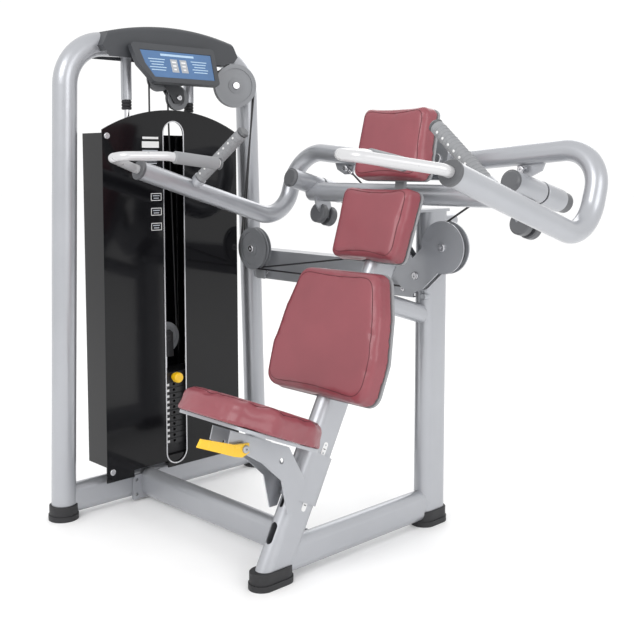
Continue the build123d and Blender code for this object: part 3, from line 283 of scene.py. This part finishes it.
def sew(piece, name, body, seam_in, out_dir):
    """Seam thread a little inside the outline, laid on the face by casting rays back onto it."""
    bpy.context.view_layer.update()
    side = Vector((1, 0, 0))
    up = out_dir.cross(side).normalized()
    middle = middle_of(piece.data)
    reach = max((v.co - middle).length for v in piece.data.vertices)
    rays = []
    for i in range(SEAM_POINTS):
        turn = 2 * math.pi * i / SEAM_POINTS
        rays.append(side * math.cos(turn) + up * math.sin(turn))
    seam = []
    for ray in rays:
        hit, place, _, _ = piece.ray_cast(middle + ray * reach * 1.5, -ray)
        rim = (place - middle).length if hit else reach * 0.5
        spot = middle + ray * (rim - seam_in)
        hit, place, normal, _ = piece.ray_cast(spot + out_dir * 0.2, -out_dir)
        if hit:
            seam.append(place + normal * 0.0002)
    for _ in range(3):
        seam = [(seam[i - 1] + seam[i] * 2 + seam[(i + 1) % len(seam)]) / 4 for i in range(len(seam))]
    tube(name, seam, SEAM_R, SEAM, body, 8, True)


def cushion(node_name, body, most_swell, seam_in, out_dir):
    """Swollen copy of a CAD pad, whose points move by most_swell at most, and its seam."""
    source = nodes[node_name]
    data = source.data.copy()
    data.transform(source.matrix_world)
    piece = bpy.data.objects.new(node_name + "_cushion", data)
    bpy.context.scene.collection.objects.link(piece)
    bpy.context.view_layer.objects.active = piece
    for other in bpy.context.selected_objects:
        other.select_set(False)
    piece.select_set(True)
    middle = middle_of(data)
    for v in data.vertices:
        v.co = middle + (v.co - middle) * PAD_SHRINK
    remesh = piece.modifiers.new("remesh", "REMESH")
    remesh.mode = "VOXEL"
    remesh.voxel_size = VOXEL
    apply(remesh)
    rest = [v.co.copy() for v in piece.data.vertices]
    low = min(v.dot(out_dir) for v in rest)
    swell(piece)
    for v, was in zip(piece.data.vertices, rest):
        move = v.co - was
        if move.length > most_swell:
            move = move.normalized() * most_swell
        depth = was.dot(out_dir) - low
        v.co = was + move * min(1.0, max(0.0, depth / SWELL_DEPTH))
    smooth = piece.modifiers.new("smooth", "SMOOTH")
    smooth.factor, smooth.iterations = 0.5, 6
    apply(smooth)
    divide = piece.modifiers.new("divide", "SUBSURF")
    divide.levels = divide.render_levels = 1
    apply(divide)
    for polygon in piece.data.polygons:
        polygon.use_smooth = True
    piece.data.materials.clear()
    piece.data.materials.append(MATS["upholstery"])
    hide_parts(node_name)
    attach(piece, body)
    sew(piece, node_name + "_seam", body, seam_in, out_dir)


def face_out(low, high):
    """Outward direction of a pad's face, forward and up, from its low and high middle points."""
    run = (Vector(high) - Vector(low)).normalized()
    out = Vector((1, 0, 0)).cross(run)
    return out if out.y < 0 else -out


cushion("main_back_pad", "frame", 0.008, 0.020, face_out((0, 150, 474), (0, 262, 816)))
cushion("upper_back_pad", "frame", 0.007, 0.016, face_out((0, 338, 828), (0, 410, 1032)))
cushion("head_pad", "frame", 0.007, 0.016, face_out((0, 436, 1048), (0, 482, 1256)))
SEAT_TILT = math.radians(23)
SEAT_UP = Vector((0, math.sin(SEAT_TILT), math.cos(SEAT_TILT)))
cushion("seat_pad", "seat_carriage", 0.008, 0.018, SEAT_UP)

# ------------------------------------------------------------------ flexible cables
CABLE_R = 0.003
SIDE_GROOVE_R = 0.0601
LUG = (331, 631, 1076)                           # cable lug of the right arm, mm
SIDE_PULLEY_X, SIDE_PULLEY_Y = 112, 575          # mm
SIDE_PULLEY_Z = {"right": 853.0, "left": 877.0}  # mm
EYE_R = 0.0054
EYE_FROM, EYE_TO = 0.006, 0.034                  # stretch of the swaged eye, from the lug
RUN_FROM = 0.014                                 # the cable starts inside the eye


def arm_cable(side, mirror):
    """Cable from the arm's lug down to where it touches the side pulley's groove, with its eye."""
    lug_x, lug_y, lug_z = LUG
    lug = at(mirror * lug_x, lug_y, lug_z)
    centre = at(mirror * SIDE_PULLEY_X, SIDE_PULLEY_Y, SIDE_PULLEY_Z[side])
    gap = lug - centre
    heading = math.atan2(gap.z, gap.x)
    turn = heading + mirror * math.acos(SIDE_GROOVE_R / math.hypot(gap.x, gap.z))
    touch = Vector((centre.x + SIDE_GROOVE_R * math.cos(turn), centre.y,
                    centre.z + SIDE_GROOVE_R * math.sin(turn)))
    run = (touch - lug).normalized()
    piece = tube(f"{side}_arm_cable_run", line(lug + run * RUN_FROM, touch + run * 0.001, 48), CABLE_R,
                 MATS["cable_black"], None)
    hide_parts(f"{side}_arm_cable")
    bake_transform(piece)
    tube(f"{side}_cable_eye", line(lug + run * EYE_FROM, lug + run * EYE_TO, 6), EYE_R,
         MATS["steel"], f"{side}_arm")


arm_cable("right", 1)
arm_cable("left", -1)

FLOAT_CENTRE = at(-806, 250, 515.5)
FLOAT_GROOVE_R = 0.0481
TOP_GROOVE_R = 0.0361
NEAR_TOP_Y, FAR_TOP_Y = 238, 310                 # centres of the two top pulleys, mm
TOP_Z = 1.306


def stack_cable():
    """One cable down from the near top pulley, under the floating pulley and up to the far one."""
    loop = []
    for i in range(25):
        turn = math.pi * i / 24
        loop.append(FLOAT_CENTRE + Vector((0, -math.cos(turn), -math.sin(turn))) * FLOAT_GROOVE_R)
    first, last = loop[0], loop[-1]
    near_top = Vector((first.x, at(0, NEAR_TOP_Y, 0).y - TOP_GROOVE_R, TOP_Z))
    far_top = Vector((first.x, at(0, FAR_TOP_Y, 0).y - TOP_GROOVE_R, TOP_Z))
    path = line(near_top, first, 60)[:-1] + loop + line(last, far_top, 60)[1:]
    piece = tube("stack_cable_run", path, CABLE_R, MATS["cable_black"], None)
    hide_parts("stack_cables")
    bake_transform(piece)


stack_cable()

# ------------------------------------------------------------------ shield labels
ACROSS, UP = Vector((0, 1, 0)), Vector((0, 0, 1))
SHIELD_X = -745.9         # front face of the shield, mm
PRINT_THICK = 0.0004


def label(name, y, z, width, height, mat):
    """Printed bar on the shield; its place and size are in millimetres."""
    slab(name, at(SHIELD_X, y, z), ACROSS, UP, width / 1000, height / 1000, PRINT_THICK, mat, "frame")


label("label_title", 163, 1172, 60, 7, WHITE)
label("label_panel", 163, 1151, 64, 20, WHITE)
for row in range(6):
    label(f"label_line_{row}", 161 + (row % 2) * 3, 1132 - row * 8, 58 - (row % 3) * 7, 3.4, GREY)
for box, z in enumerate((985, 938, 890)):
    for sign in (-1, 1):
        label(f"box_rail_{box}_{sign}", 182, z + sign * 11, 40, 2, WHITE)
        label(f"box_side_{box}_{sign}", 182 + sign * 19, z, 2, 22, WHITE)
    for row in range(2):
        label(f"box_bar_{box}_{row}", 182, z + 4 - row * 8, 26 - row * 6, 3.4, GREY)

# one pale dash on each plate's front edge
PLATES, PLATE_PITCH, STACK_FOOT = 11, 19, 166    # pitch and foot in mm
for number in range(PLATES):
    z = STACK_FOOT + number * PLATE_PITCH + 9
    slab(f"plate_mark_{number}", at(-757.95, 222, z), ACROSS, UP, 0.018, 0.008, 0.0003, WHITE, "frame")

# ------------------------------------------------------------------ placard face
PLACARD_TILT = math.radians(20)
PLACARD_OUT = Vector((math.cos(PLACARD_TILT), 0, math.sin(PLACARD_TILT)))
PLACARD_UP = Vector((-math.sin(PLACARD_TILT), 0, math.cos(PLACARD_TILT)))
PLACARD_AT = at(-688, 232, 1404) - PLACARD_OUT * 0.00145


def on_placard(name, y, v, width, height, mat):
    """Printed bar on the placard, y across and v up from its middle, all in millimetres."""
    slab(name, PLACARD_AT + ACROSS * y / 1000 + PLACARD_UP * v / 1000, ACROSS, PLACARD_UP, width / 1000,
         height / 1000, PRINT_THICK, mat, "frame", round_by=0.0008)


on_placard("placard_title", 4, 27, 128, 7, PALE_BLUE)
for column, y in enumerate((-78, 84)):
    for row in range(5):
        on_placard(f"placard_line_{column}_{row}", y, 11 - row * 9, 62 - (row % 3) * 9, 3, PALE_BLUE)
for column, y in enumerate((-14, 22)):
    on_placard(f"placard_panel_{column}", y, -8, 26, 44, GREY)
    for row in range(3):
        slab(f"placard_bar_{column}_{row}", PLACARD_AT + PLACARD_OUT * PRINT_THICK + ACROSS * y / 1000
             + PLACARD_UP * (4 - row * 12) / 1000, ACROSS, PLACARD_UP, 0.016 - row * 0.003, 0.005,
             PRINT_THICK, WHITE, "frame")

# ------------------------------------------------------------------ seat post scale
POST_LEAN = math.radians(28)
POST_UP = Vector((0, math.sin(POST_LEAN), math.cos(POST_LEAN)))
POST_BACK = Vector((0, math.cos(POST_LEAN), -math.sin(POST_LEAN)))
POST_FOOT = at(0, -4, 0)
POST_HALF_WIDTH = 0.027
SCALE_ACROSS = 4          # the scale's place behind the post's middle line, mm
MARK_PITCH = 22           # mm


def on_post(name, along, width, height, thick, mat, round_by=0.0):
    """Plate on the post's side, along it from the foot, in millimetres apart from round_by."""
    centre = POST_FOOT + POST_UP * along / 1000 + POST_BACK * SCALE_ACROSS / 1000
    centre.x += POST_HALF_WIDTH
    slab(name, centre, POST_BACK, POST_UP, width / 1000, height / 1000, thick / 1000, mat,
         "frame", round_by=round_by)


on_post("height_scale", 300, 16, 190, 0.8, WHITE, round_by=0.007)
for number in range(8):
    # the dark bars are painted shade for the recessed marks
    on_post(f"height_mark_shade_{number}", 222 + number * MARK_PITCH, 9, 2.2, 1.1, RECESS_SHADE)
    on_post(f"height_ring_{number}", 233 + number * MARK_PITCH, 5, 5, 1.1, GREY, round_by=0.0024)

# ------------------------------------------------------------------ grips
GRIP_ROOT, GRIP_TIP = (566, 190, 1020), (362, 222, 1180)   # right neutral handle, mm
RIBS, DOTS = 17, 8


def grip(side, mirror):
    """Ribs round the neutral handle's rubber, and a row of dots along its front."""
    root = at(mirror * GRIP_ROOT[0], *GRIP_ROOT[1:])
    tip = at(mirror * GRIP_TIP[0], *GRIP_TIP[1:])
    lean = (tip - root).normalized()
    length = (tip - root).length
    for ring in range(RIBS):
        place = root + lean * (0.060 + ring * (length - 0.080) / (RIBS - 1))
        tube(f"{side}_grip_rib_{ring}", line(place, place + lean * 0.004, 3), 0.0186,
             MATS["grip_rubber"], f"{side}_arm", 32)
    front = (Vector((0, -1, 0)) + lean * lean.y).normalized()
    for dot in range(DOTS):
        place = root + lean * (0.066 + dot * (length - 0.092) / (DOTS - 1)) + front * 0.0172
        tube(f"{side}_grip_dot_{dot}", line(place, place + front * 0.0018, 2), 0.0035, WHITE,
             f"{side}_arm", 16)


grip("right", 1)
grip("left", -1)

# ------------------------------------------------------------------ floor, light and camera
FLOOR_SIZE = 60
WORLD_STRENGTH = 1.05
floor_mat = material("pale_floor", (0.97, 0.97, 0.97), rough=0.6, grain=0.05, scale=300, vary=0.01)
bpy.ops.mesh.primitive_plane_add(size=FLOOR_SIZE, location=(0, 0, 0))
floor = bpy.context.object
floor.data.materials.append(floor_mat)

world = bpy.data.worlds.new("studio")
bpy.context.scene.world = world
world.use_nodes = True
world.node_tree.nodes["Background"].inputs["Color"].default_value = (1, 1, 1, 1)
world.node_tree.nodes["Background"].inputs["Strength"].default_value = WORLD_STRENGTH


def area(name, place, aim, size, power):
    """Rectangular light at place, turned towards aim."""
    lamp = bpy.data.lights.new(name, "AREA")
    lamp.shape, lamp.size, lamp.size_y, lamp.energy = "RECTANGLE", size[0], size[1], power
    holder = bpy.data.objects.new(name, lamp)
    bpy.context.scene.collection.objects.link(holder)
    holder.location = place
    holder.rotation_euler = (Vector(aim) - Vector(place)).to_track_quat("-Z", "Y").to_euler()


area("key", (0.6, -3.6, 3.4), (0, 0, 0.7), (2.6, 2.0), 70)
area("side", (4.2, -0.6, 2.4), (0, 0, 0.8), (2.4, 2.4), 45)
area("back", (-1.5, 3.4, 3.2), (0, 0, 0.9), (3.0, 2.0), 30)

LENS, SENSOR_WIDTH, SHIFT_Y = 55.07, 36, -0.11
CAMERA_AT = Vector((1.9655, -1.8484, 1.0948))
AZIMUTH, DOWN = math.radians(45.953), math.radians(5.0)
look = Vector((-math.sin(AZIMUTH) * math.cos(DOWN), math.cos(AZIMUTH) * math.cos(DOWN), -math.sin(DOWN)))
lens = bpy.data.cameras.new("camera")
lens.sensor_width, lens.lens, lens.shift_y = SENSOR_WIDTH, LENS, SHIFT_Y
camera = bpy.data.objects.new("camera", lens)
bpy.context.scene.collection.objects.link(camera)
camera.location = CAMERA_AT
camera.rotation_euler = look.to_track_quat("-Z", "Y").to_euler()
bpy.context.scene.camera = camera
bpy.context.scene.view_settings.view_transform = "Standard"
